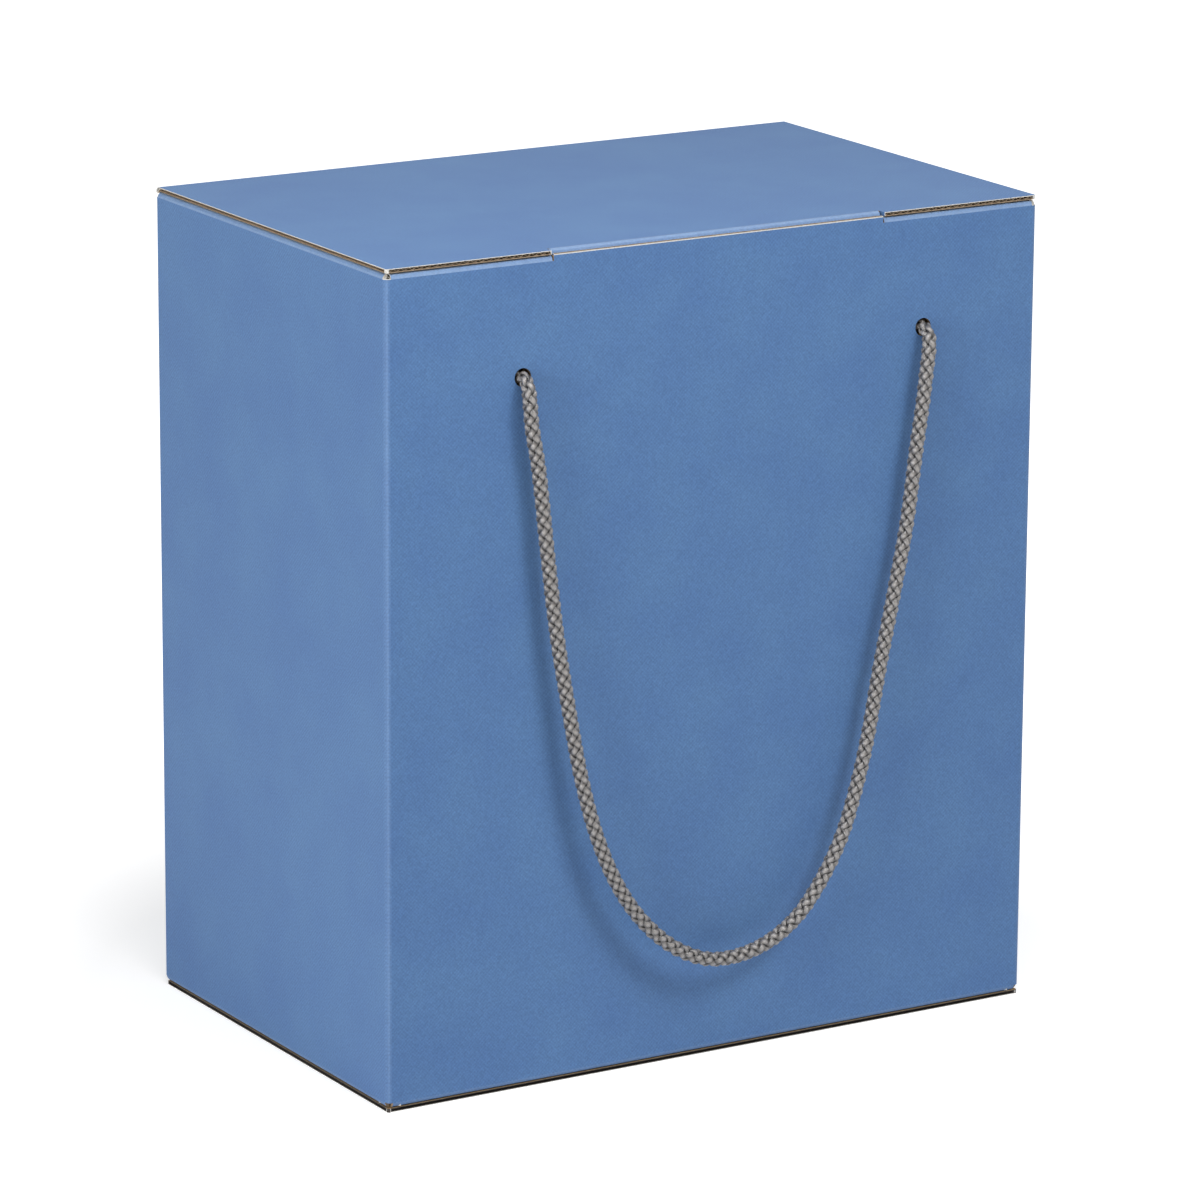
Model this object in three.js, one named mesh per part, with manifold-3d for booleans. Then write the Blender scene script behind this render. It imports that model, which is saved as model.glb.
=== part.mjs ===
// A carry box: one folded corrugated blank, its tuck lid, and a braided rope handle with two knots.
// Millimetres, +Z up. The front wall faces -Y, and the origin is under the middle of the bottom.
import * as THREE from "three";
import { mergeVertices } from "three/addons/utils/BufferGeometryUtils.js";
import Module from "manifold-3d";

const wasm = await Module();
wasm.setup();

// The box outside, with its lid closed
const boxWidth = 285;
const boxDepth = 180;
const boxHeight = 320;

// The board and its creases
const board = 1.6;
const foldRadius = 2;
const foldSteps = 4;
const foldLap = 10;
const cornerNotch = 0.4;
const flapClearance = 1.5;
const glueGap = 0.15;

// The lid, its hinge crease and its tuck tab
const lidGap = 0.3;
const hingeGap = 0.3;
const lidInset = 0.5;
const tabWidth = 144;
const tabLength = 20;
const tabCornerRadius = 9;
const tabClearance = 0.3;
const tabReliefCut = 0.8;
const slotEndClearance = 0.6;
const slotLip = 2.5;

// The front wall rolls over its top into a doubler, which backs the rope holes
const doublerDepth = 76;
const doublerCornerRadius = 10;

// The flaps that stiffen the top and close the bottom
const dustFlapLength = 74;
const dustFlapTaper = 7;
const dustFlapCornerRadius = 16;
const sideFlapLength = 88;
const frontFlapLength = 72;
const bottomFlapCornerRadius = 6;
const bottomPanelInset = 0.5;
const glueFlapWidth = 32;
const glueFlapTaper = 12;

// The rope handle: a limp braided cord through two punched holes, knotted behind the doubler
const ropeDiameter = 6;
const ropeSides = 10;
const ropeSteps = 78;
const holeDiameter = 7;
const holeSpacing = 176;
const holeOffset = 3;
const holeDrop = 46;
const holeSides = 28;
const knotSeatGap = 0.3;
const knotLength = 14;
const knotDiameter = 17;
const knotTailLength = 13;
const knotSides = 18;

// Places that several sub-parts share
const sideX = boxWidth / 2;
const rearY = boxDepth / 2;
const frontY = -boxDepth / 2;
const wallBottom = board + glueGap;
const wallTop = boxHeight - board - lidGap;
const lowerCrease = wallBottom + foldRadius;
const upperCrease = wallTop - foldRadius;
const rearWallInside = rearY - board - glueGap;
const rearWallTop = boxHeight - foldRadius - hingeGap;
const tabLean = tabLength ** 2 / (2 * (boxDepth - board)) + 0.1;
const tabFoldY = frontY + board + tabClearance;
const doublerFrontY = tabFoldY + tabLean + board + tabClearance;
const doublerRearY = doublerFrontY + board;
const holeZ = boxHeight - holeDrop;
const holePlaces = [holeOffset - holeSpacing / 2, holeOffset + holeSpacing / 2];

// The rope's route from knot to knot, chosen by hand: x, distance in front of the front wall, z
const ropeRoute = [
  [-85, frontY - doublerRearY, 274],
  [-85, -2, 274],
  [-85, 1.6, 273.4],
  [-85.1, 4, 271],
  [-85.1, 5.2, 266.8],
  [-84.4, 5.8, 256],
  [-81.9, 6, 241.6],
  [-78.2, 6.7, 208],
  [-74.7, 7.4, 178.3],
  [-70.2, 8.2, 150.5],
  [-64.7, 9.2, 120.8],
  [-59.1, 9.9, 99.9],
  [-52.5, 10.5, 83.1],
  [-44.8, 10.9, 69.6],
  [-35.1, 11.3, 57.8],
  [-23.3, 11.5, 48.2],
  [-9.5, 11.6, 42.1],
  [5, 11.6, 41.5],
  [19.3, 11.5, 45.5],
  [31.3, 11.4, 53.5],
  [41.7, 11, 65.8],
  [50.7, 10.5, 81.1],
  [56.9, 10, 97.9],
  [62.1, 9.3, 115.8],
  [68.6, 8.3, 146.5],
  [75, 7.5, 174.3],
  [80.6, 6.8, 200.1],
  [84.6, 6.3, 227.8],
  [87.4, 6, 245.5],
  [89, 5.8, 257.6],
  [90.4, 5.2, 266.6],
  [91, 4, 271],
  [91, 1.6, 273.4],
  [91, -2, 274],
  [91, frontY - doublerRearY, 274],
];

// Every corner of a solid lies on this grid
const grid = 1e-3;

const cardMaterial = { color: 0x5b7ba6, roughness: 0.72, metalness: 0 };
const ropeMaterial = { color: 0x8d8b8a, roughness: 0.85, metalness: 0 };

// The points of a rounded corner between two straight runs
function roundCorner(before, corner, after, radius) {
  const arriving = corner.clone().sub(before).normalize();
  const leaving = after.clone().sub(corner).normalize();
  const turn = Math.atan2(arriving.cross(leaving), arriving.dot(leaving));
  if (radius <= 0 || turn === 0) return [corner.clone()];
  const reach = radius * Math.tan(Math.abs(turn) / 2);
  const start = corner.clone().addScaledVector(arriving, -reach);
  const side = Math.sign(turn);
  const inward = new THREE.Vector2(-arriving.y * side, arriving.x * side);
  const centre = start.clone().addScaledVector(inward, radius);
  const points = [];
  for (let k = 0; k <= foldSteps; k++) {
    points.push(start.clone().rotateAround(centre, (turn * k) / foldSteps));
  }
  return points;
}

// An open line with its inner corners rounded
function roundedLine(points, radius) {
  const last = points.length - 1;
  return points.flatMap((point, k) => {
    if (k === 0 || k === last) return [point.clone()];
    return roundCorner(points[k - 1], point, points[k + 1], radius);
  });
}

function withoutRepeats(points) {
  const tooClose = 1e-4;
  return points.filter((p, k) => k === 0 || p.distanceTo(points[k - 1]) > tooClose);
}

// The section of a strip of board, folded where its outside line turns a corner
function foldedStrip(corners) {
  const outside = corners.map(([u, v]) => new THREE.Vector2(u, v));
  const legs = outside.slice(1).map((p, k) => p.clone().sub(outside[k]).normalize());
  const side = Math.sign(legs[0].cross(legs[1]));
  const normals = legs.map((leg) => new THREE.Vector2(-leg.y * side, leg.x * side));
  const inside = outside.map((p, k) => {
    const before = normals[Math.max(k - 1, 0)];
    const after = normals[Math.min(k, normals.length - 1)];
    const mitre = before.clone().add(after);
    return p.clone().addScaledVector(mitre, board / (1 + before.dot(after)));
  });
  const outerLine = withoutRepeats(roundedLine(outside, foldRadius));
  const innerLine = withoutRepeats(roundedLine(inside, foldRadius - board));
  return new THREE.Shape([...outerLine, ...innerLine.reverse()]);
}

// A flat outline whose corners are [u, v] or, rounded, [u, v, radius]
function roundedOutline(corners) {
  const points = corners.map(([u, v]) => new THREE.Vector2(u, v));
  const count = points.length;
  return new THREE.Shape(
    corners.flatMap(([, , radius = 0], k) =>
      roundCorner(points[(k + count - 1) % count], points[k], points[(k + 1) % count], radius),
    ),
  );
}

// A solid of manifold-3d from a closed geometry, on a fine grid so that flush faces are truly flush
function solidOf(geometry) {
  const bare = geometry.clone();
  bare.deleteAttribute("normal");
  bare.deleteAttribute("uv");
  const places = bare.attributes.position.array;
  places.forEach((value, k) => {
    places[k] = Math.round(value / grid) * grid;
  });
  const merged = mergeVertices(bare, grid / 2);
  const triVerts = new Uint32Array(merged.index.array);
  const vertProperties = new Float32Array(merged.attributes.position.array);
  return new wasm.Manifold(new wasm.Mesh({ numProp: 3, vertProperties, triVerts }));
}

function joined(solids) {
  return solids.reduce((whole, piece) => whole.add(piece));
}

// A shape drawn in XY, XZ or YZ and pushed along the third axis from one place to another
function extruded(shape, axis, from, to) {
  const options = { depth: to - from, bevelEnabled: false, curveSegments: foldSteps };
  const geometry = new THREE.ExtrudeGeometry(shape, options);
  const [x, y, z] = [new THREE.Vector3(1, 0, 0), new THREE.Vector3(0, 1, 0), new THREE.Vector3(0, 0, 1)];
  const place = new THREE.Matrix4();
  if (axis === "x") place.makeBasis(y, z, x).setPosition(from, 0, 0);
  if (axis === "y") place.makeBasis(x, z, y.negate()).setPosition(0, to, 0);
  if (axis === "z") place.setPosition(0, 0, from);
  return solidOf(geometry.applyMatrix4(place));
}

// A flat flap lying between two heights
function flap(corners, bottom) {
  return extruded(roundedOutline(corners), "z", bottom, bottom + board);
}

function meshOf(solid, name, material) {
  const { vertProperties, triVerts } = solid.getMesh();
  const geometry = new THREE.BufferGeometry();
  geometry.setAttribute("position", new THREE.BufferAttribute(new Float32Array(vertProperties), 3));
  geometry.setIndex(new THREE.BufferAttribute(new Uint32Array(triVerts), 1));
  geometry.computeVertexNormals();
  const mesh = new THREE.Mesh(geometry, new THREE.MeshStandardMaterial(material));
  mesh.name = name;
  return mesh;
}

// The four walls as one sleeve, from the rear wall's raw edge round to the right wall
function wallSleeve() {
  const section = foldedStrip([
    [sideX, rearY],
    [-sideX, rearY],
    [-sideX, frontY],
    [sideX, frontY],
    [sideX, rearY - foldLap],
  ]);
  return extruded(section, "z", lowerCrease, upperCrease);
}

// The right wall's rear crease and the flap that is glued inside the rear wall
function glueFlap() {
  const fold = foldedStrip([
    [sideX, rearY - 2 * foldLap],
    [sideX, rearWallInside],
    [sideX - foldRadius, rearWallInside],
  ]);
  const innerX = sideX - glueFlapWidth;
  const plate = roundedOutline([
    [sideX - foldRadius, lowerCrease + flapClearance],
    [sideX - foldRadius, upperCrease - flapClearance],
    [innerX, upperCrease - glueFlapTaper],
    [innerX, lowerCrease + glueFlapTaper],
  ]);
  return joined([
    extruded(fold, "z", lowerCrease, upperCrease),
    extruded(plate, "y", rearWallInside - board, rearWallInside),
  ]);
}

// The rear wall runs down round the bottom crease and up to the lid's crease
function rearWall() {
  const section = foldedStrip([
    [rearY - foldLap, 0],
    [rearY, 0],
    [rearY, rearWallTop],
  ]);
  return extruded(section, "x", foldRadius - sideX, sideX);
}

// The outermost bottom panel, one board thick, that the box stands on
function bottomPanel() {
  const edgeX = sideX - bottomPanelInset;
  return flap(
    [
      [-edgeX, rearY - foldRadius],
      [-edgeX, frontY + bottomPanelInset, 1],
      [edgeX, frontY + bottomPanelInset, 1],
      [edgeX, rearY - foldRadius],
    ],
    0,
  );
}

// A side wall's creases at its bottom and top; side is -1 on the left and 1 on the right
function sideFolds(side) {
  const outerX = side * sideX;
  const rearEnd = (side > 0 ? rearWallInside : rearY) - foldRadius;
  const section = foldedStrip([
    [outerX - side * foldRadius, wallBottom],
    [outerX, wallBottom],
    [outerX, wallTop],
    [outerX - side * foldRadius, wallTop],
  ]);
  return extruded(section, "y", frontY + foldRadius, rearEnd);
}

// The dust flap that folds in from a side wall under the lid
function dustFlap(side) {
  const foldX = side * (sideX - foldRadius);
  const endX = side * (sideX - dustFlapLength);
  const front = doublerRearY + flapClearance;
  const rear = rearWallInside - board - flapClearance;
  return flap(
    [
      [foldX, front],
      [endX, front + dustFlapTaper, dustFlapCornerRadius],
      [endX, rear - dustFlapTaper, dustFlapCornerRadius],
      [foldX, rear],
    ],
    wallTop - board,
  );
}

// The bottom flaps lie glued on the outer panel, mitred clear of each other at the front
function bottomSideFlap(side) {
  const foldX = side * (sideX - foldRadius);
  const endX = side * (sideX - sideFlapLength);
  const mitreX = side * (sideX - frontFlapLength);
  const frontStart = frontY + foldRadius + 2 * flapClearance;
  return flap(
    [
      [foldX, frontStart],
      [mitreX, frontStart + frontFlapLength - foldRadius],
      [endX, frontStart + frontFlapLength - foldRadius, bottomFlapCornerRadius],
      [endX, rearY - 4 * flapClearance, bottomFlapCornerRadius],
      [foldX, rearY - 2 * flapClearance],
    ],
    wallBottom,
  );
}

function bottomFrontFlap() {
  const foldX = sideX - foldRadius - flapClearance;
  const endX = foldX - frontFlapLength + foldRadius;
  return flap(
    [
      [-foldX, frontY + foldRadius],
      [foldX, frontY + foldRadius],
      [endX, frontY + frontFlapLength, bottomFlapCornerRadius],
      [-endX, frontY + frontFlapLength, bottomFlapCornerRadius],
    ],
    wallBottom,
  );
}

// The front wall's bottom crease, and its top rolled over into the doubler
function frontFolds() {
  const bottom = foldedStrip([
    [frontY + foldRadius, wallBottom],
    [frontY, wallBottom],
    [frontY, lowerCrease + foldLap],
  ]);
  const roll = foldedStrip([
    [frontY, upperCrease - foldLap],
    [frontY, wallTop],
    [doublerRearY, wallTop],
    [doublerRearY, upperCrease - foldLap],
  ]);
  const edgeX = sideX - foldRadius - cornerNotch;
  return joined([extruded(bottom, "x", -edgeX, edgeX), extruded(roll, "x", -edgeX, edgeX)]);
}

function doubler() {
  const edgeX = sideX - foldRadius - cornerNotch;
  const lowest = wallTop - doublerDepth;
  const outline = roundedOutline([
    [-edgeX, upperCrease],
    [-edgeX, lowest, doublerCornerRadius],
    [edgeX, lowest, doublerCornerRadius],
    [edgeX, upperCrease],
  ]);
  return extruded(outline, "y", doublerFrontY, doublerRearY);
}

// The slot in the rolled top that takes the lid's tab
function tabSlot() {
  const endX = tabWidth / 2 + slotEndClearance;
  const outline = roundedOutline([
    [-endX, upperCrease],
    [endX, upperCrease],
    [endX, boxHeight],
    [-endX, boxHeight],
  ]);
  return extruded(outline, "y", frontY - 1, doublerFrontY);
}

// In front of the slot the front wall isn't rolled: its cut edge stands up against the lid's crease
function frontLip() {
  const edgeX = tabWidth / 2;
  const outline = roundedOutline([
    [-edgeX, upperCrease],
    [edgeX, upperCrease],
    [edgeX, upperCrease + slotLip],
    [-edgeX, upperCrease + slotLip],
  ]);
  return extruded(outline, "y", frontY, frontY + board);
}

// A hole punched through front and rear walls alike
function ropeHole(x) {
  const outline = new THREE.Shape();
  outline.absarc(x, holeZ, holeDiameter / 2, 0, 2 * Math.PI);
  const points = outline.getPoints(holeSides).slice(0, -1);
  return extruded(new THREE.Shape(points), "y", frontY - 1, rearY + 1);
}

function cartonSolid() {
  const sheets = joined([
    wallSleeve(),
    glueFlap(),
    rearWall(),
    bottomPanel(),
    sideFolds(-1),
    sideFolds(1),
    dustFlap(-1),
    dustFlap(1),
    bottomSideFlap(-1),
    bottomSideFlap(1),
    bottomFrontFlap(),
    frontFolds(),
    doubler(),
  ]);
  const cuts = joined([tabSlot(), ...holePlaces.map(ropeHole)]);
  return sheets.subtract(cuts).add(frontLip());
}

// The lid panel: raw at both sides and at the front, apart from the stretch that folds into the tab
function lidPanel() {
  const edgeX = sideX - lidInset;
  const tabX = tabWidth / 2 + tabReliefCut;
  const frontEdge = frontY + tabClearance;
  const tabEdge = tabFoldY + foldRadius;
  return flap(
    [
      [-edgeX, rearY - foldRadius],
      [-edgeX, frontEdge, 1],
      [-tabX, frontEdge],
      [-tabX, tabEdge],
      [tabX, tabEdge],
      [tabX, frontEdge],
      [edgeX, frontEdge, 1],
      [edgeX, rearY - foldRadius],
    ],
    boxHeight - board,
  );
}

// The lid's share of the hinge crease: the bend that comes down to the rear wall's top
function lidCrease() {
  const edgeX = sideX - lidInset;
  const section = foldedStrip([
    [rearY - foldLap, boxHeight],
    [rearY, boxHeight],
    [rearY, boxHeight - foldRadius],
  ]);
  return extruded(section, "x", -edgeX, edgeX);
}

// The tab leans back from its crease, so that it clears the front wall as the lid swings
function tuckTab() {
  const tipZ = boxHeight - tabLength;
  const section = foldedStrip([
    [tabFoldY + foldLap, boxHeight],
    [tabFoldY, boxHeight],
    [tabFoldY + tabLean, tipZ],
  ]);
  const edgeX = tabWidth / 2;
  const outline = roundedOutline([
    [-edgeX, boxHeight + 1],
    [-edgeX, tipZ - 1, tabCornerRadius],
    [edgeX, tipZ - 1, tabCornerRadius],
    [edgeX, boxHeight + 1],
  ]);
  const blank = extruded(section, "x", -edgeX, edgeX);
  return blank.intersect(extruded(outline, "y", frontY - 1, 0));
}

function lidSolid() {
  return joined([lidPanel(), lidCrease(), tuckTab()]);
}

// The rope hangs from hole to hole in front of the front wall
function ropeMesh() {
  const points = ropeRoute.map(([x, out, z]) => new THREE.Vector3(x, frontY - out, z));
  const extrudePath = new THREE.CatmullRomCurve3(points, false, "centripetal");
  const section = new THREE.Shape();
  section.absarc(0, 0, ropeDiameter / 2, 0, 2 * Math.PI);
  const ring = new THREE.Shape(section.getPoints(ropeSides).slice(0, -1));
  const options = { steps: ropeSteps, bevelEnabled: false, extrudePath };
  const geometry = new THREE.ExtrudeGeometry(ring, options);
  return meshOf(solidOf(geometry), "rope_handle", ropeMaterial);
}

// An overhand knot as two lobes and the rope's short tail, turned round the hole's axis
function knotMesh(name, x) {
  const [lobe, waist, tail] = [knotDiameter / 2, knotDiameter / 2.35, ropeDiameter / 2];
  const curve = new THREE.SplineCurve([
    new THREE.Vector2(tail + 1.5, 0),
    new THREE.Vector2(lobe, knotLength * 0.25),
    new THREE.Vector2(waist, knotLength * 0.52),
    new THREE.Vector2(lobe * 0.96, knotLength * 0.76),
    new THREE.Vector2(tail + 0.8, knotLength),
  ]);
  const profile = [
    new THREE.Vector2(0, 0),
    ...curve.getPoints(12),
    new THREE.Vector2(tail, knotLength + 0.8),
    new THREE.Vector2(tail, knotLength + knotTailLength),
    new THREE.Vector2(0, knotLength + knotTailLength),
  ];
  const knot = meshOf(solidOf(new THREE.LatheGeometry(profile, knotSides)), name, ropeMaterial);
  knot.position.set(x, doublerRearY + knotSeatGap, holeZ);
  return knot;
}

const group = new THREE.Group();
group.add(
  meshOf(cartonSolid(), "carton", cardMaterial),
  meshOf(lidSolid(), "lid", cardMaterial),
  ropeMesh(),
  knotMesh("rope_knot_left", holePlaces[0]),
  knotMesh("rope_knot_right", holePlaces[1]),
);

export default group;
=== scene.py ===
# A corrugated carry box with a tuck lid and a braided rope handle, dressed around its CAD frame.
# Metres, +Z up. The front wall faces -Y.
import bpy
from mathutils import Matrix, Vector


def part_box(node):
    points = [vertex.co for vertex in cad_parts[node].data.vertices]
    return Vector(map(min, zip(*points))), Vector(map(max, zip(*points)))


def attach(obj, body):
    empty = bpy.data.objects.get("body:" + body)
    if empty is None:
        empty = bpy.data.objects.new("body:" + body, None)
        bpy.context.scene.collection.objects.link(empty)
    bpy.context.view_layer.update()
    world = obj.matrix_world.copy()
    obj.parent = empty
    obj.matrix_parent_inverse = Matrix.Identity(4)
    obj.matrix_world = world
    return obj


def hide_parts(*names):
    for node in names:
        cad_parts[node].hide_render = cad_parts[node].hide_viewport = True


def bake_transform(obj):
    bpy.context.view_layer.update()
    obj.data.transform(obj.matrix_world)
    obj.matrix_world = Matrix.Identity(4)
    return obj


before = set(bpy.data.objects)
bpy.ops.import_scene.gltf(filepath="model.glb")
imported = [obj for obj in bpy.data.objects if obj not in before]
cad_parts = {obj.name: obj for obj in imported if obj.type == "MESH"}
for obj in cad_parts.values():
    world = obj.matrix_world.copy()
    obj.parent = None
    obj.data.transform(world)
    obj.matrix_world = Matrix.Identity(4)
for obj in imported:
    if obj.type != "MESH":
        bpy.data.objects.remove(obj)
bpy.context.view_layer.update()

import math

import bpy
from mathutils import Matrix, Vector

# The frame's places that the pieces share
carton_low, carton_high = (Vector(corner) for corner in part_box("carton"))
lid_high = Vector(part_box("lid")[1])
front_y = carton_low.y
rear_y = carton_high.y
box_top = lid_high.z

# The board: two liners on a fluted medium, with scored folds
board = 0.0016
liner = 0.00028
flute_pitch = 0.0032
flute_steps = 8
medium_paper = 0.00018
medium_setback = 0.00012
medium_end_gap = 0.0004
slant_step = 0.007
slant_columns = 5
cut_depth = 0.0028
bottom_cut_depth = 0.006
sunk_medium = 0.0035
worn_lip = 0.0004
notch_face = 4e-6
notch_corner = (0.1385, 0.086, 0.314)
tab_relief_x = 0.071
tab_relief_reach = 0.0025
tab_relief_y = -0.085
crease_bends = 9
lip_top = carton_high.z
rear_wall_top = box_top - 0.0023
lid_end = box_top - 0.0020

# The rope: an 8-strand round braid of filament yarn
rope_diameter = 0.006
braid_pitch = 0.019
braid_radius = 0.00180
braid_weave = 0.00050
strand_width = 0.0023
strand_thickness = 0.0014
strand_sides = 8
braid_step = 0.0007
core_radius = 0.0013

# The rope's route from knot to knot, as in the part's source: x, distance in front of the front wall, z
rope_route = [
    (-0.0850, -0.00662, 0.2740),
    (-0.0850, -0.0020, 0.2740),
    (-0.0850, 0.0016, 0.2734),
    (-0.0851, 0.0040, 0.2710),
    (-0.0851, 0.0052, 0.2668),
    (-0.0844, 0.0058, 0.2560),
    (-0.0819, 0.0060, 0.2416),
    (-0.0782, 0.0067, 0.2080),
    (-0.0747, 0.0074, 0.1783),
    (-0.0702, 0.0082, 0.1505),
    (-0.0647, 0.0092, 0.1208),
    (-0.0591, 0.0099, 0.0999),
    (-0.0525, 0.0105, 0.0831),
    (-0.0448, 0.0109, 0.0696),
    (-0.0351, 0.0113, 0.0578),
    (-0.0233, 0.0115, 0.0482),
    (-0.0095, 0.0116, 0.0421),
    (0.0050, 0.0116, 0.0415),
    (0.0193, 0.0115, 0.0455),
    (0.0313, 0.0114, 0.0535),
    (0.0417, 0.0110, 0.0658),
    (0.0507, 0.0105, 0.0811),
    (0.0569, 0.0100, 0.0979),
    (0.0621, 0.0093, 0.1158),
    (0.0686, 0.0083, 0.1465),
    (0.0750, 0.0075, 0.1743),
    (0.0806, 0.0068, 0.2001),
    (0.0846, 0.0063, 0.2278),
    (0.0874, 0.0060, 0.2455),
    (0.0890, 0.0058, 0.2576),
    (0.0904, 0.0052, 0.2666),
    (0.0910, 0.0040, 0.2710),
    (0.0910, 0.0016, 0.2734),
    (0.0910, -0.0020, 0.2740),
    (0.0910, -0.00662, 0.2740),
]


# Colours and nodes


def linear(hex_colour):
    """The linear colour of an sRGB hex value."""
    parts = [int(hex_colour[i : i + 2], 16) / 255 for i in (1, 3, 5)]
    return (*(c / 12.92 if c <= 0.04045 else ((c + 0.055) / 1.055) ** 2.4 for c in parts), 1.0)


def add(tree, kind, inputs=None, **settings):
    """Adds a node. Each input is a value or another node's output."""
    made = tree.nodes.new("ShaderNode" + kind)
    for name, value in settings.items():
        setattr(made, name, value)
    for name, value in (inputs or {}).items():
        if isinstance(value, bpy.types.NodeSocket):
            tree.links.new(value, made.inputs[name])
        else:
            made.inputs[name].default_value = value
    return made


def new_material(name):
    """An empty material: its name, its node tree and its output node."""
    material = bpy.data.materials.new(name)
    material.use_nodes = True
    material.node_tree.nodes.clear()
    tree = material.node_tree
    return material, tree, add(tree, "OutputMaterial")


def per_metre(millimetres):
    """The scale of a noise whose grain has this size."""
    return 1000 / millimetres


def diagonal_bands(millimetres):
    """The scale of a diagonal wave whose lines lie this far apart on an upright or a level face."""
    return 2 * math.pi * 1000 / (10 * millimetres * math.sqrt(2))


def printed_paper():
    """Offset-printed white liner, matt varnished: a slightly cloudy blue, pale on the folds, partly where a fold
    cracks the print and partly as a painted highlight.
    """
    material, tree, output = new_material("matt_printed_paper")
    place = add(tree, "TexCoord").outputs["Object"]
    cloud = add(tree, "TexNoise", {"Vector": place, "Scale": per_metre(30), "Detail": 6.0, "Roughness": 0.62})
    ink = add(tree, "ValToRGB", {"Fac": cloud.outputs["Fac"]})
    ink.color_ramp.elements[0].position = 0.34
    ink.color_ramp.elements[0].color = linear("#4c70a1")
    ink.color_ramp.elements[1].position = 0.66
    ink.color_ramp.elements[1].color = linear("#5277a5")
    # The print's screen is about 0.2 mm, and is drawn as a hatch of 1.1 mm so that it shows
    hatch = None
    for signs in ((1, 1, 1), (1, -1, -1), (1, 1, -1)):
        turned = add(tree, "VectorMath", {0: place, 1: signs}, operation="MULTIPLY")
        lines = add(
            tree,
            "TexWave",
            {
                "Vector": turned.outputs["Vector"],
                "Scale": diagonal_bands(1.1),
                "Distortion": 1.5,
                "Detail": 2.0,
            },
            bands_direction="DIAGONAL",
        )
        hatch = lines.outputs["Fac"] if hatch is None else add(
            tree, "Math", {0: hatch, 1: lines.outputs["Fac"]}, operation="ADD"
        ).outputs["Value"]
    grain = add(tree, "TexNoise", {"Vector": place, "Scale": per_metre(0.8), "Detail": 3.0, "Roughness": 0.7})
    screened = add(
        tree, "MapRange", {"Value": hatch, "From Min": 0.3, "From Max": 2.7, "To Min": 0.90, "To Max": 1.10}
    )
    grain_tone = add(
        tree,
        "MapRange",
        {"Value": grain.outputs["Fac"], "From Min": 0.3, "From Max": 0.7, "To Min": 0.84, "To Max": 1.16},
    )
    print_tone = add(
        tree, "Math", {0: screened.outputs["Result"], 1: grain_tone.outputs["Result"]}, operation="MULTIPLY"
    )
    grained = add(
        tree, "VectorMath", {0: ink.outputs["Color"], "Scale": print_tone.outputs["Value"]}, operation="SCALE"
    )
    fold = add(tree, "Attribute", attribute_name="fold")
    crack = add(tree, "TexNoise", {"Vector": place, "Scale": per_metre(2.5), "Detail": 5.0, "Roughness": 0.7})
    crack_tone = add(
        tree,
        "MapRange",
        {"Value": crack.outputs["Fac"], "From Min": 0.35, "From Max": 0.70, "To Min": 0.65, "To Max": 1.0},
    )
    # The folds' pale tone: partly rubbed print, partly a painted highlight
    wear_and_highlight = add(tree, "Math", {0: fold.outputs["Fac"], 1: crack_tone.outputs["Result"]}, operation="MULTIPLY")
    colour = add(
        tree,
        "MixRGB",
        {"Fac": wear_and_highlight.outputs["Value"], "Color1": grained.outputs["Vector"], "Color2": linear("#b6cbe6")},
    )
    relief = add(tree, "Bump", {"Height": grain.outputs["Fac"], "Strength": 0.25, "Distance": 0.00006})
    paper = add(
        tree,
        "BsdfPrincipled",
        {
            "Base Color": colour.outputs["Color"],
            "Roughness": 0.6,
            "IOR": 1.45,
            "Normal": relief.outputs["Normal"],
        },
    )
    tree.links.new(paper.outputs["BSDF"], output.inputs["Surface"])
    return material


def plain_paper(name, dark, light, grain_mm, roughness):
    """Uncoated paper: short fibres in two tones, dull and slightly rough."""
    material, tree, output = new_material(name)
    place = add(tree, "TexCoord").outputs["Object"]
    fibre = add(
        tree, "TexNoise", {"Vector": place, "Scale": per_metre(grain_mm), "Detail": 4.0, "Roughness": 0.65}
    )
    tone = add(tree, "ValToRGB", {"Fac": fibre.outputs["Fac"]})
    tone.color_ramp.elements[0].position = 0.32
    tone.color_ramp.elements[0].color = linear(dark)
    tone.color_ramp.elements[1].position = 0.68
    tone.color_ramp.elements[1].color = linear(light)
    relief = add(tree, "Bump", {"Height": fibre.outputs["Fac"], "Strength": 0.4, "Distance": 0.00008})
    paper = add(
        tree,
        "BsdfPrincipled",
        {
            "Base Color": tone.outputs["Color"],
            "Roughness": roughness,
            "IOR": 1.45,
            "Normal": relief.outputs["Normal"],
        },
    )
    tree.links.new(paper.outputs["BSDF"], output.inputs["Surface"])
    return material


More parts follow.
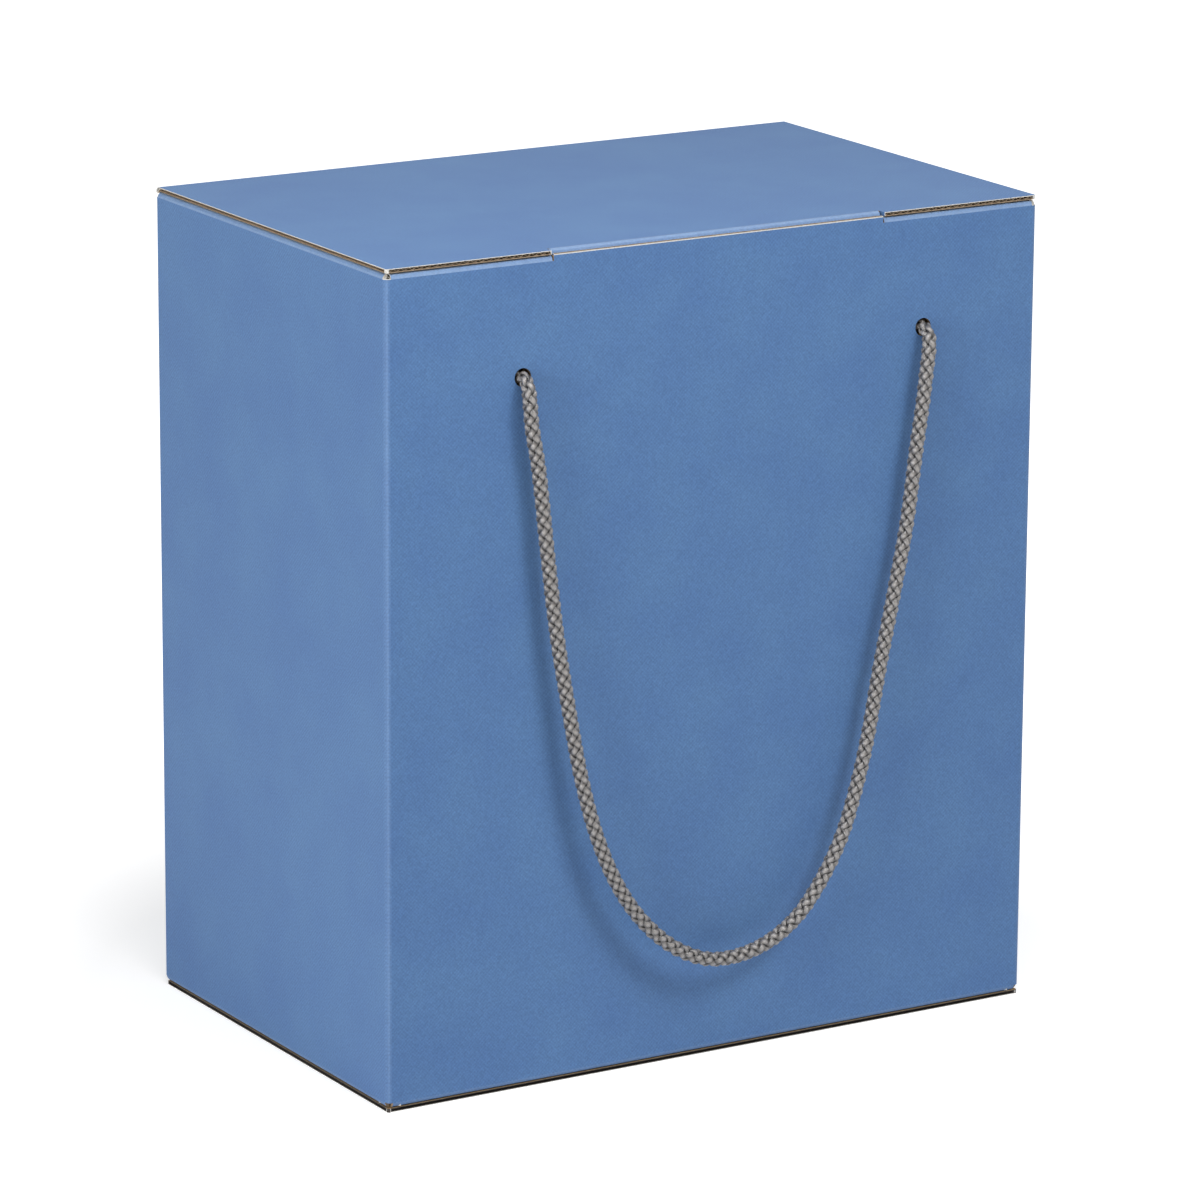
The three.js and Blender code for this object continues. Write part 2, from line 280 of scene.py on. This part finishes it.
def filament_yarn():
    """Braided polyester filament yarn: silver-grey, with a painted highlight on each strand's top where it rides
    over, and painted shade at its sides and where it dives under a crossing.
    """
    material, tree, output = new_material("braided_polyester_yarn")
    strand = add(tree, "UVMap", uv_map="filaments").outputs["UV"]
    # This attribute paints highlight and shade into the yarn's colour
    painted_shading = add(tree, "Attribute", attribute_name="painted_shading")
    # The yarn's threads lie along the rope. They are drawn 0.5 mm wide, coarser than real, to show
    threads = add(
        tree,
        "TexWave",
        {"Vector": strand, "Scale": 0.62, "Distortion": 2.0, "Detail": 2.0, "Detail Scale": 0.5},
        bands_direction="Y",
    )
    thread_tone = add(tree, "MapRange", {"Value": threads.outputs["Fac"], "To Min": 0.55, "To Max": 1.0})
    lit = add(tree, "Math", {0: painted_shading.outputs["Fac"], 1: thread_tone.outputs["Result"]}, operation="MULTIPLY")
    tone = add(tree, "ValToRGB", {"Fac": lit.outputs["Value"]})
    tone.color_ramp.elements[0].position = 0.08
    tone.color_ramp.elements[0].color = linear("#211f1f")
    tone.color_ramp.elements[1].position = 0.85
    tone.color_ramp.elements[1].color = linear("#aaa5a1")
    middle = tone.color_ramp.elements.new(0.5)
    middle.color = linear("#696461")
    relief = add(tree, "Bump", {"Height": threads.outputs["Fac"], "Strength": 0.5, "Distance": 0.00010})
    yarn = add(
        tree,
        "BsdfPrincipled",
        {
            "Base Color": tone.outputs["Color"],
            "Roughness": 0.30,
            "IOR": 1.55,
            "Specular IOR Level": 0.9,
            "Sheen Weight": 0.1,
            "Sheen Roughness": 0.4,
            "Normal": relief.outputs["Normal"],
        },
    )
    tree.links.new(yarn.outputs["BSDF"], output.inputs["Surface"])
    return material


# Modelling helpers


def only(piece):
    """Deselects everything, then selects this piece and makes it active."""
    bpy.ops.object.select_all(action="DESELECT")
    piece.select_set(True)
    bpy.context.view_layer.objects.active = piece


def pick_faces(piece, test):
    """Selects the faces that pass the test, in object mode, ready for edit mode."""
    bpy.context.tool_settings.mesh_select_mode = (False, False, True)
    mesh = piece.data
    for group in (mesh.vertices, mesh.edges):
        group.foreach_set("select", [False] * len(group))
    for face in mesh.polygons:
        face.select = test(face)


def edit(piece):
    only(piece)
    bpy.ops.object.mode_set(mode="EDIT")


def leave_edit():
    bpy.ops.object.mode_set(mode="OBJECT")


def apply_modifier(piece, kind, **settings):
    only(piece)
    modifier = piece.modifiers.new(kind, kind)
    for name, value in settings.items():
        setattr(modifier, name, value)
    bpy.ops.object.modifier_apply(modifier=modifier.name)


def join(name, pieces):
    """Joins pieces into the first of them."""
    only(pieces[0])
    for piece in pieces[1:]:
        piece.select_set(True)
    bpy.ops.object.join()
    pieces[0].name = name
    return pieces[0]


# The board

printed = printed_paper()
bleached = plain_paper("bleached_liner_edge", "#c9c6bf", "#e6e4df", 0.7, 0.85)
kraft = plain_paper("kraft_liner", "#937854", "#b59a74", 1.2, 0.85)
medium = plain_paper("recycled_fluting_medium", "#7c6a57", "#a8947c", 0.9, 0.9)
# The edges that the box stands on are painted nearly black beside the floor: painted shade for the contact
# shadow there
painted_shade_edge = plain_paper("board_edge_painted_shade", "#2f2b29", "#4a443f", 1.0, 0.9)
board_papers = (printed, kraft, medium, bleached, painted_shade_edge)
PRINTED, INSIDE, CUT, WHITE_RIM, PAINTED_SHADE = range(5)


def board_copy(node, name):
    """A merged copy of a folded board, with one flat face for each flat."""
    only(bpy.data.objects[node])
    bpy.ops.object.duplicate()
    piece = bpy.context.active_object
    piece.name = name
    piece.data.name = name
    edit(piece)
    bpy.ops.mesh.select_all(action="SELECT")
    bpy.ops.mesh.remove_doubles(threshold=2e-6)
    bpy.ops.mesh.dissolve_limited(angle_limit=math.radians(1), use_dissolve_boundaries=False)
    if node == "carton":
        bpy.ops.mesh.select_all(action="SELECT")
        bpy.ops.mesh.bisect(plane_co=(0, 0, lip_top - worn_lip), plane_no=(0, 0, 1))
    leave_edit()
    piece.data.materials.clear()
    for material in board_papers:
        piece.data.materials.append(material)
    for face in piece.data.polygons:
        face.material_index = CUT
    return piece


def paint_side(piece, place, normal, side):
    """Gives the board's flat at that place, and all that it folds into, its side's material."""
    place, normal = Vector(place), Vector(normal)
    same_plane = [
        face
        for face in piece.data.polygons
        if face.normal.dot(normal) > 0.99 and abs((face.center - place).dot(normal)) < 0.0002
    ]
    seed = max(same_plane, key=lambda face: face.area).index
    pick_faces(piece, lambda face: face.index == seed)
    edit(piece)
    bpy.ops.mesh.faces_select_linked_flat(sharpness=math.radians(30))
    leave_edit()
    for face in piece.data.polygons:
        if face.select:
            face.material_index = side


def fold_wear_and_highlight(face):
    """How pale a fold's print is painted, partly as rubbed print and partly as a painted highlight that is
    brighter on folds facing up: most along the scores at the top, and least at the corners.
    """
    upward = face.normal.z
    if upward > 0.1:
        return 0.36 if upward < 0.3 else 0.24 if upward < 0.7 else 0.40
    if upward < -0.1:
        return 0.10
    return 0.13 if abs(abs(face.normal.y) - 0.83) < 0.05 else 0.05


def mark_folds(piece):
    """Marks the folds, which lie between the board's flats, for the printed paper's pale wear and painted
    highlight.
    """
    fold = piece.data.attributes.new("fold", "FLOAT", "FACE")
    for face in piece.data.polygons:
        flat = max(abs(part) for part in face.normal) > math.cos(math.radians(5))
        if face.material_index == PRINTED and not flat:
            fold.data[face.index].value = fold_wear_and_highlight(face)


class CutEdge:
    """A straight cut edge of the board: its middle, its length, and its three directions."""

    def __init__(self, face, mesh):
        corners = [mesh.vertices[i].co for i in face.vertices]
        a, b = max(zip(corners, corners[1:] + corners[:1]), key=lambda side: (side[1] - side[0]).length)
        self.along = (b - a).normalized()
        self.length = (b - a).length
        self.inward = -face.normal.copy()
        self.across = self.along.cross(self.inward)
        if not any(abs((corner - a).dot(self.across) - board) < 0.0001 for corner in corners):
            self.across.negate()
        self.middle = (a + b) / 2 + self.across * board / 2
        self.is_strip = self.length > 0.009 and face.area > 0.85 * self.length * board
        self.under_box = self.middle.z < board and abs(self.inward.z) < 0.1

    def crosses_flutes(self):
        """Whether flutes end here. They run up the walls, along X in the side walls' flaps, and else along Y."""
        if abs(self.across.z) < 0.5:
            flutes = Vector((0, 0, 1))
        elif self.middle.z > carton_high.z or abs(self.middle.x) < 0.05 or self.middle.z < board:
            flutes = Vector((0, 1, 0))
        else:
            flutes = Vector((1, 0, 0))
        return abs(self.inward.dot(flutes)) > 0.3


def is_hinge_cut(place):
    """The two faces at the lid's crease, which aren't cuts in the real board."""
    return place.y > rear_y - 0.002 and rear_wall_top - 0.0001 < place.z < lid_end + 0.0001


def medium_strip(edge, lean):
    """The fluted medium at one cut edge, as waves across the flutes or one slanting wall along them."""
    waves = edge.crosses_flutes()
    if waves:
        steps = max(1, round(edge.length / flute_pitch)) * flute_steps
    else:
        steps = max(2, round(edge.length / slant_step))
    bpy.ops.object.select_all(action="DESELECT")
    bpy.ops.mesh.primitive_grid_add(x_subdivisions=steps, y_subdivisions=1, size=2)
    strip = bpy.context.active_object
    swing = (board - 2 * liner - medium_paper) / 2
    start, end = (sunk_medium, bottom_cut_depth) if edge.under_box else (medium_setback, cut_depth)
    middle = edge.middle + edge.inward * (start + end) / 2
    half_length = edge.length / 2 - medium_end_gap
    strip.scale = (half_length, (end - start) / 2, 1)
    bpy.ops.object.transform_apply(location=False, rotation=False, scale=True)
    bpy.context.tool_settings.mesh_select_mode = (True, False, False)
    columns = flute_steps if waves else slant_columns
    for phase in range(columns):
        for row in (-1, 1):
            mesh = strip.data
            for group in (mesh.polygons, mesh.edges):
                group.foreach_set("select", [False] * len(group))
            for vertex in mesh.vertices:
                column = round((vertex.co.x / half_length + 1) / 2 * steps)
                vertex.select = column % columns == phase and vertex.co.y * row > 0
            turn = 2 * math.pi * phase / columns
            slant = lean * row + 0.14 * math.sin(turn) - 0.4 * lean
            rise = swing * (math.cos(turn) if waves else slant)
            edit(strip)
            bpy.ops.transform.translate(value=(0, 0, rise))
            leave_edit()
    apply_modifier(strip, "SOLIDIFY", thickness=medium_paper, offset=0)
    turned = Matrix((edge.along, edge.inward, edge.along.cross(edge.inward))).transposed()
    strip.matrix_world = Matrix.Translation(middle) @ turned.to_4x4()
    only(strip)
    bpy.ops.object.transform_apply(location=True, rotation=True, scale=False)
    strip.data.materials.append(medium)
    return strip


def open_cut_edges(piece, edges, depth):
    """Cuts a channel between the liners along each edge, with a rim white by the print, and painted shade on the
    cut faces under the box.
    """
    planes = [(edge.middle, edge.inward) for edge in edges]

    def on_edge(face):
        return face.material_index == CUT and any(
            face.normal.dot(inward) < -0.999 and abs((face.center - middle).dot(inward)) < 1e-5
            and face.area > 3e-6
            for middle, inward in planes
        )

    pick_faces(piece, on_edge)
    for face in piece.data.polygons:
        if face.select:
            face.material_index = WHITE_RIM
    edit(piece)
    bpy.ops.mesh.inset(thickness=liner, use_boundary=True, use_even_offset=True)
    bpy.ops.mesh.extrude_region_shrink_fatten(TRANSFORM_OT_shrink_fatten={"value": -depth})
    leave_edit()
    printed_edges = set()
    for face in piece.data.polygons:
        if face.material_index == PRINTED:
            printed_edges.update(face.edge_keys)
    for face in piece.data.polygons:
        if face.select or face.material_index != WHITE_RIM or face.area < notch_face:
            continue
        if not printed_edges.intersection(face.edge_keys):
            face.material_index = CUT
    # Cut faces low under the box get the nearly black edge paper: painted shade for the contact shadow
    for face in piece.data.polygons:
        if face.material_index == CUT and face.center.z < board:
            face.material_index = PAINTED_SHADE


def dress_small_cuts(piece):
    """White paper shows at the worn lip and in the corner notches, and the tab's reliefs are printed."""
    notch_x, notch_y, notch_z = notch_corner
    for face in piece.data.polygons:
        place = face.center
        if face.material_index == PRINTED and face.normal.y < -0.9 and place.z > lip_top - worn_lip:
            if abs(place.y - front_y) < 0.0001:
                face.material_index = WHITE_RIM
        elif face.material_index == CUT and abs(abs(place.x) - tab_relief_x) < tab_relief_reach:
            if place.y < tab_relief_y and place.z > rear_wall_top:
                face.material_index = PRINTED
        elif face.material_index == CUT and face.area < notch_face:
            if abs(place.x) > notch_x and abs(place.y) > notch_y and place.z > notch_z:
                face.material_index = WHITE_RIM


def dressed_board(node, name, sides, body):
    """A folded board with printed and kraft sides, open cut edges, and the medium that shows in them."""
    piece = board_copy(node, name)
    for place, normal, side in sides:
        paint_side(piece, place, normal, side)
    dress_small_cuts(piece)
    edges = []
    for face in piece.data.polygons:
        if face.material_index == CUT and not is_hinge_cut(face.center):
            edge = CutEdge(face, piece.data)
            if edge.is_strip:
                edges.append(edge)
    mark_folds(piece)
    strips = []
    for edge in edges:
        for lean in (0.6,) if edge.crosses_flutes() else (0.6, -0.6):
            strips.append(medium_strip(edge, lean))
    open_cut_edges(piece, [edge for edge in edges if edge.under_box], bottom_cut_depth)
    open_cut_edges(piece, [edge for edge in edges if not edge.under_box], cut_depth)
    only(piece)
    bpy.ops.object.shade_smooth_by_angle(angle=math.radians(30))
    apply_modifier(piece, "WEIGHTED_NORMAL", mode="FACE_AREA", weight=100, keep_sharp=True)
    fluting = join(node + "_fluting", strips)
    for made in (piece, fluting):
        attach(made, body)
    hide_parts(node)


dressed_board(
    "carton",
    "carton_board",
    [
        ((0, front_y, 0.1), (0, -1, 0), PRINTED),
        ((0, front_y + board, 0.1), (0, 1, 0), INSIDE),
    ],
    "carton",
)
dressed_board(
    "lid",
    "lid_board",
    [
        ((0, 0, box_top), (0, 0, 1), PRINTED),
        ((0, front_y + 0.0027, 0.306), (0, -0.998, -0.061), PRINTED),
        ((0, 0, box_top - board), (0, 0, -1), INSIDE),
    ],
    "lid",
)


def hinge_crease():
    """The scored crease between the rear wall and the lid, as a strip cut into bands across its height."""
    low, high = rear_wall_top, lid_end
    inner_y = rear_y - board
    bpy.ops.object.select_all(action="DESELECT")
    bpy.ops.mesh.primitive_cube_add(size=1, location=(0, (inner_y + rear_y) / 2, (low + high) / 2))
    crease = bpy.context.active_object
    crease.name = "lid_crease"
    crease.scale = (2 * lid_high.x, board, high - low)
    bpy.ops.object.transform_apply(location=True, rotation=False, scale=True)
    bpy.context.tool_settings.mesh_select_mode = (False, True, False)
    mesh = crease.data
    for edge in mesh.edges:
        a, b = (mesh.vertices[i].co for i in edge.vertices)
        edge.select = abs(a.z - b.z) > 1e-6
    for group in (mesh.vertices, mesh.polygons):
        group.foreach_set("select", [False] * len(group))
    edit(crease)
    bpy.ops.mesh.subdivide(number_cuts=crease_bends)
    leave_edit()
    for material in board_papers:
        mesh.materials.append(material)
    for face in mesh.polygons:
        face.material_index = PRINTED if face.normal.y > 0.5 else INSIDE if face.normal.y < -0.5 else CUT
    only(crease)
    bpy.ops.object.shade_smooth_by_angle(angle=math.radians(30))
    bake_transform(crease)


hinge_crease()


# The rope and its knots


def smooth_line(points, step):
    """A centripetal Catmull-Rom curve through the points, as points one step apart."""
    ends = [points[0] * 2 - points[1], *points, points[-1] * 2 - points[-2]]
    fine = []
    for a, b, c, d in zip(ends, ends[1:], ends[2:], ends[3:]):
        times = [0.0]
        for p, q in ((a, b), (b, c), (c, d)):
            times.append(times[-1] + max((q - p).length, 1e-6) ** 0.5)
        ta, tb, tc, td = times
        for i in range(24):
            t = tb + (tc - tb) * i / 24
            ab = a.lerp(b, (t - ta) / (tb - ta))
            bc = b.lerp(c, (t - tb) / (tc - tb))
            cd = c.lerp(d, (t - tc) / (td - tc))
            before = ab.lerp(bc, (t - ta) / (tc - ta))
            after = bc.lerp(cd, (t - tb) / (td - tb))
            fine.append(before.lerp(after, (t - tb) / (tc - tb)))
    fine.append(points[-1].copy())
    total = sum((q - p).length for p, q in zip(fine, fine[1:]))
    count = round(total / step)
    line, walked, goal = [fine[0]], 0.0, total / count
    for p, q in zip(fine, fine[1:]):
        length = (q - p).length
        while walked + length >= goal * len(line) - 1e-9 and len(line) < count:
            line.append(p.lerp(q, (goal * len(line) - walked) / length))
        walked += length
    return [*line, fine[-1]]


def carried_frames(line):
    """At each point of a line, its direction and one across it that turns no more than it must."""
    last = len(line) - 1
    directions = [(line[min(i + 1, last)] - line[max(i - 1, 0)]).normalized() for i in range(len(line))]
    side = directions[0].orthogonal().normalized()
    frames = []
    for direction in directions:
        side = (side - direction * side.dot(direction)).normalized()
        frames.append((direction, side, direction.cross(side)))
    return frames


def tube_faces(first, rings, sides):
    """The faces of a closed tube whose rings of vertices follow each other."""
    faces = [tuple(first + i for i in reversed(range(sides)))]
    for ring in range(rings - 1):
        here = first + ring * sides
        for i in range(sides):
            following = (i + 1) % sides
            faces.append((here + i, here + following, here + sides + following, here + sides + i))
    faces.append(tuple(first + (rings - 1) * sides + i for i in range(sides)))
    return faces


def squeezed(travelled, total, is_knot):
    """The braid's share of its full thickness: less where the wall's hole grips it and at a melted end."""
    if is_knot:
        return min(1.0, 0.45 + (total - travelled) / 0.004)
    from_end = min(travelled, total - travelled)
    return 1.0 - 0.13 * max(0.0, 1.0 - abs(from_end - 0.006) / 0.009)


def braid(name, points, is_knot=False):
    """An 8-strand braid along a smooth line through the points, round a core."""
    line = smooth_line(points, braid_step)
    frames = carried_frames(line)
    step = sum((q - p).length for p, q in zip(line, line[1:])) / (len(line) - 1)
    total = step * (len(line) - 1)
    verts, faces, strand_places, painted_shadings = [], [], [], []
    for hand in (1, -1):
        for strand in range(4):
            first = len(verts)
            for i, (point, (direction, side, up)) in enumerate(zip(line, frames)):
                travelled = i * step
                squeeze = squeezed(travelled, total, is_knot)
                turn = hand * 2 * math.pi * travelled / braid_pitch + math.pi * strand / 2
                out = side * math.cos(turn) + up * math.sin(turn)
                height = hand * math.cos(8 * math.pi * travelled / braid_pitch)
                radius = squeeze * (braid_radius + braid_weave * height)
                swirl = hand * 2 * math.pi * radius / braid_pitch
                heading = (direction + (up * math.cos(turn) - side * math.sin(turn)) * swirl).normalized()
                wide = heading.cross(out)
                middle = point + out * radius
                for k in range(strand_sides):
                    angle = 2 * math.pi * k / strand_sides
                    verts.append(
                        middle
                        + out * (squeeze * strand_thickness / 2 * math.cos(angle))
                        + wide * (squeeze * strand_width / 2 * math.sin(angle))
                    )
                    round_rope = turn * rope_diameter / 2 + strand_width / 2 * math.sin(angle)
                    strand_places.append((travelled * 1000, round_rope * 1000))
                    # Painted light and shade: brightest on a strand's outer middle where it rides over, darkest
                    # at its sides and where it dives under
                    painted_shadings.append((0.5 + 0.5 * height) ** 1.2 * (0.25 + 0.75 * max(0.0, math.cos(angle))))
            faces += tube_faces(first, len(line), strand_sides)
    first = len(verts)
    for i, (point, (direction, side, up)) in enumerate(zip(line, frames)):
        for k in range(strand_sides):
            angle = 2 * math.pi * k / strand_sides
            verts.append(point + (side * math.cos(angle) + up * math.sin(angle)) * core_radius)
            strand_places.append((i * step * 1000, 0.0))
            # The core gets the darkest painted shade
            painted_shadings.append(0.0)
    faces += tube_faces(first, len(line), strand_sides)
    mesh = bpy.data.meshes.new(name)
    mesh.from_pydata(verts, [], faces)
    filaments = mesh.uv_layers.new(name="filaments")
    for loop in mesh.loops:
        filaments.data[loop.index].uv = strand_places[loop.vertex_index]
    mesh.attributes.new("painted_shading", "FLOAT", "POINT").data.foreach_set("value", painted_shadings)
    piece = bpy.data.objects.new(name, mesh)
    bpy.context.scene.collection.objects.link(piece)
    mesh.materials.append(yarn)
    edit(piece)
    bpy.ops.mesh.select_all(action="SELECT")
    bpy.ops.mesh.normals_make_consistent(inside=False)
    leave_edit()
    only(piece)
    bpy.ops.object.shade_smooth()
    return piece, line


def knot_points(place, turn):
    """An overhand knot behind a hole: in through the hole, three lobes round the rope, and a short tail."""
    middle_radius, lobe, depth = 0.0030, 0.0024, 0.0038
    centre = place + Vector((0, depth + 0.0031, 0))
    points = [place.copy(), place + Vector((0, 0.0016, 0))]
    for degrees in range(-10, 281, 10):
        swing = math.radians(degrees)
        radius = middle_radius + lobe * math.cos(3 * swing)
        points.append(
            centre
            + Vector(
                (
                    radius * math.cos(2 * swing + turn),
                    depth * math.sin(3 * swing),
                    radius * math.sin(2 * swing + turn),
                )
            )
        )
    tail = points[-1]
    points.append(tail + Vector((0.0005, 0.006, -0.0022)))
    points.append(tail + Vector((0.0006, 0.0115, -0.0034)))
    return points


yarn = filament_yarn()
route = [Vector((x, front_y - distance, z)) for x, distance, z in rope_route]
rope, rope_line = braid("rope_braid", route)
for side, end, turn in (("left", route[0], 0.6), ("right", route[-1], 2.4)):
    seat = Vector((end.x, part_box("rope_knot_" + side)[0][1], end.z))
    knot = braid("rope_overhand_knot_" + side, knot_points(seat, turn), is_knot=True)[0]
    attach(knot, "carton")
    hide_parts("rope_knot_" + side)
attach(rope, "carton")
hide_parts("rope_handle")


# The floor, the light and the camera


def seen_rays(tree):
    """A node that is 1 for what the eye sees, straight, in a gloss or through something clear."""
    path = add(tree, "LightPath").outputs
    straight, gloss, clear = path["Is Camera Ray"], path["Is Glossy Ray"], path["Is Transmission Ray"]
    seen = add(tree, "Math", {0: straight, 1: gloss}, operation="ADD", use_clamp=True)
    return add(tree, "Math", {0: seen.outputs["Value"], 1: clear}, operation="ADD", use_clamp=True)


def pale_floor():
    """White card. A white sweep shows pure white, so the eye gets a little more than the lamps give."""
    material, tree, output = new_material("white_card_floor")
    seen = seen_rays(tree)
    place = add(tree, "TexCoord").outputs["Object"]
    away = add(tree, "VectorMath", {0: place}, operation="LENGTH")
    sweep = add(
        tree,
        "MapRange",
        {"Value": away.outputs["Value"], "From Min": 0.2, "From Max": 0.36, "To Min": 0.56, "To Max": 1.0},
    )
    lift = add(tree, "Math", {0: seen.outputs["Value"], 1: sweep.outputs["Result"]}, operation="MULTIPLY")
    card = add(tree, "BsdfDiffuse", {"Color": linear("#eeeeee")})
    glow = add(tree, "Emission", {"Color": linear("#ffffff"), "Strength": lift.outputs["Value"]})
    both = add(tree, "AddShader", {0: card.outputs["BSDF"], 1: glow.outputs["Emission"]})
    tree.links.new(both.outputs["Shader"], output.inputs["Surface"])
    return material


bpy.ops.object.select_all(action="DESELECT")
bpy.ops.mesh.primitive_plane_add(size=14, location=(0, 0, 0))
floor = bpy.context.active_object
floor.name = "floor"
floor.data.materials.append(pale_floor())


def studio_world(level):
    """Even grey light from all round, which the eye and a gloss see as white."""
    world = bpy.data.worlds.new("studio")
    bpy.context.scene.world = world
    world.use_nodes = True
    tree = world.node_tree
    tree.nodes.clear()
    seen = seen_rays(tree)
    lamp = add(tree, "Background", {"Color": (1, 1, 1, 1), "Strength": level})
    white = add(tree, "Background", {"Color": (1, 1, 1, 1), "Strength": 1.0})
    mixed = add(
        tree,
        "MixShader",
        {0: seen.outputs["Value"], 1: lamp.outputs["Background"], 2: white.outputs["Background"]},
    )
    output = add(tree, "OutputWorld")
    tree.links.new(mixed.outputs["Shader"], output.inputs["Surface"])


def softbox(name, place, target, size, level):
    """A square soft lamp that lights a white card at the target, facing it, to that level."""
    lamp = bpy.data.lights.new(name, "AREA")
    lamp.shape = "SQUARE"
    lamp.size = size
    reach = Vector(target) - Vector(place)
    lamp.energy = level * (math.pi * reach.length) ** 2
    holder = bpy.data.objects.new(name, lamp)
    facing = reach.to_track_quat("-Z", "Y").to_matrix().to_4x4()
    holder.matrix_world = Matrix.Translation(Vector(place)) @ facing
    bpy.context.scene.collection.objects.link(holder)


box_middle = Vector((0, 0, 0.16))
studio_world(0.18)
softbox("key_softbox", (0.62, -1.70, 2.05), box_middle, 0.8, 0.45)
softbox("fill_softbox", (-1.60, -0.45, 0.32), box_middle, 0.8, 0.54)
softbox("top_softbox", (-0.22, -0.30, 0.90), (0, 0, 0.32), 0.4, 0.64)


def camera():
    """The photograph's view, from the left of the front and a little above."""
    azimuth, elevation, roll = (math.radians(angle) for angle in (-31.204, 14.7, 0.344))
    distance, shift_right, shift_up = 2.4668, 0.00257, -0.00159
    back = Vector(
        (
            math.sin(azimuth) * math.cos(elevation),
            -math.cos(azimuth) * math.cos(elevation),
            math.sin(elevation),
        )
    )
    level_right = Vector((math.cos(azimuth), math.sin(azimuth), 0))
    level_up = back.cross(level_right)
    right = level_right * math.cos(roll) + level_up * math.sin(roll)
    up = level_up * math.cos(roll) - level_right * math.sin(roll)
    lens = bpy.data.cameras.new("camera")
    lens.sensor_width = 36
    lens.lens = 190.58
    lens.clip_end = 50
    holder = bpy.data.objects.new("camera", lens)
    place = box_middle + back * distance + right * shift_right + up * shift_up
    holder.matrix_world = Matrix.Translation(place) @ Matrix((right, up, back)).transposed().to_4x4()
    bpy.context.scene.collection.objects.link(holder)
    bpy.context.scene.camera = holder


camera()
bpy.context.scene.view_settings.view_transform = "Standard"
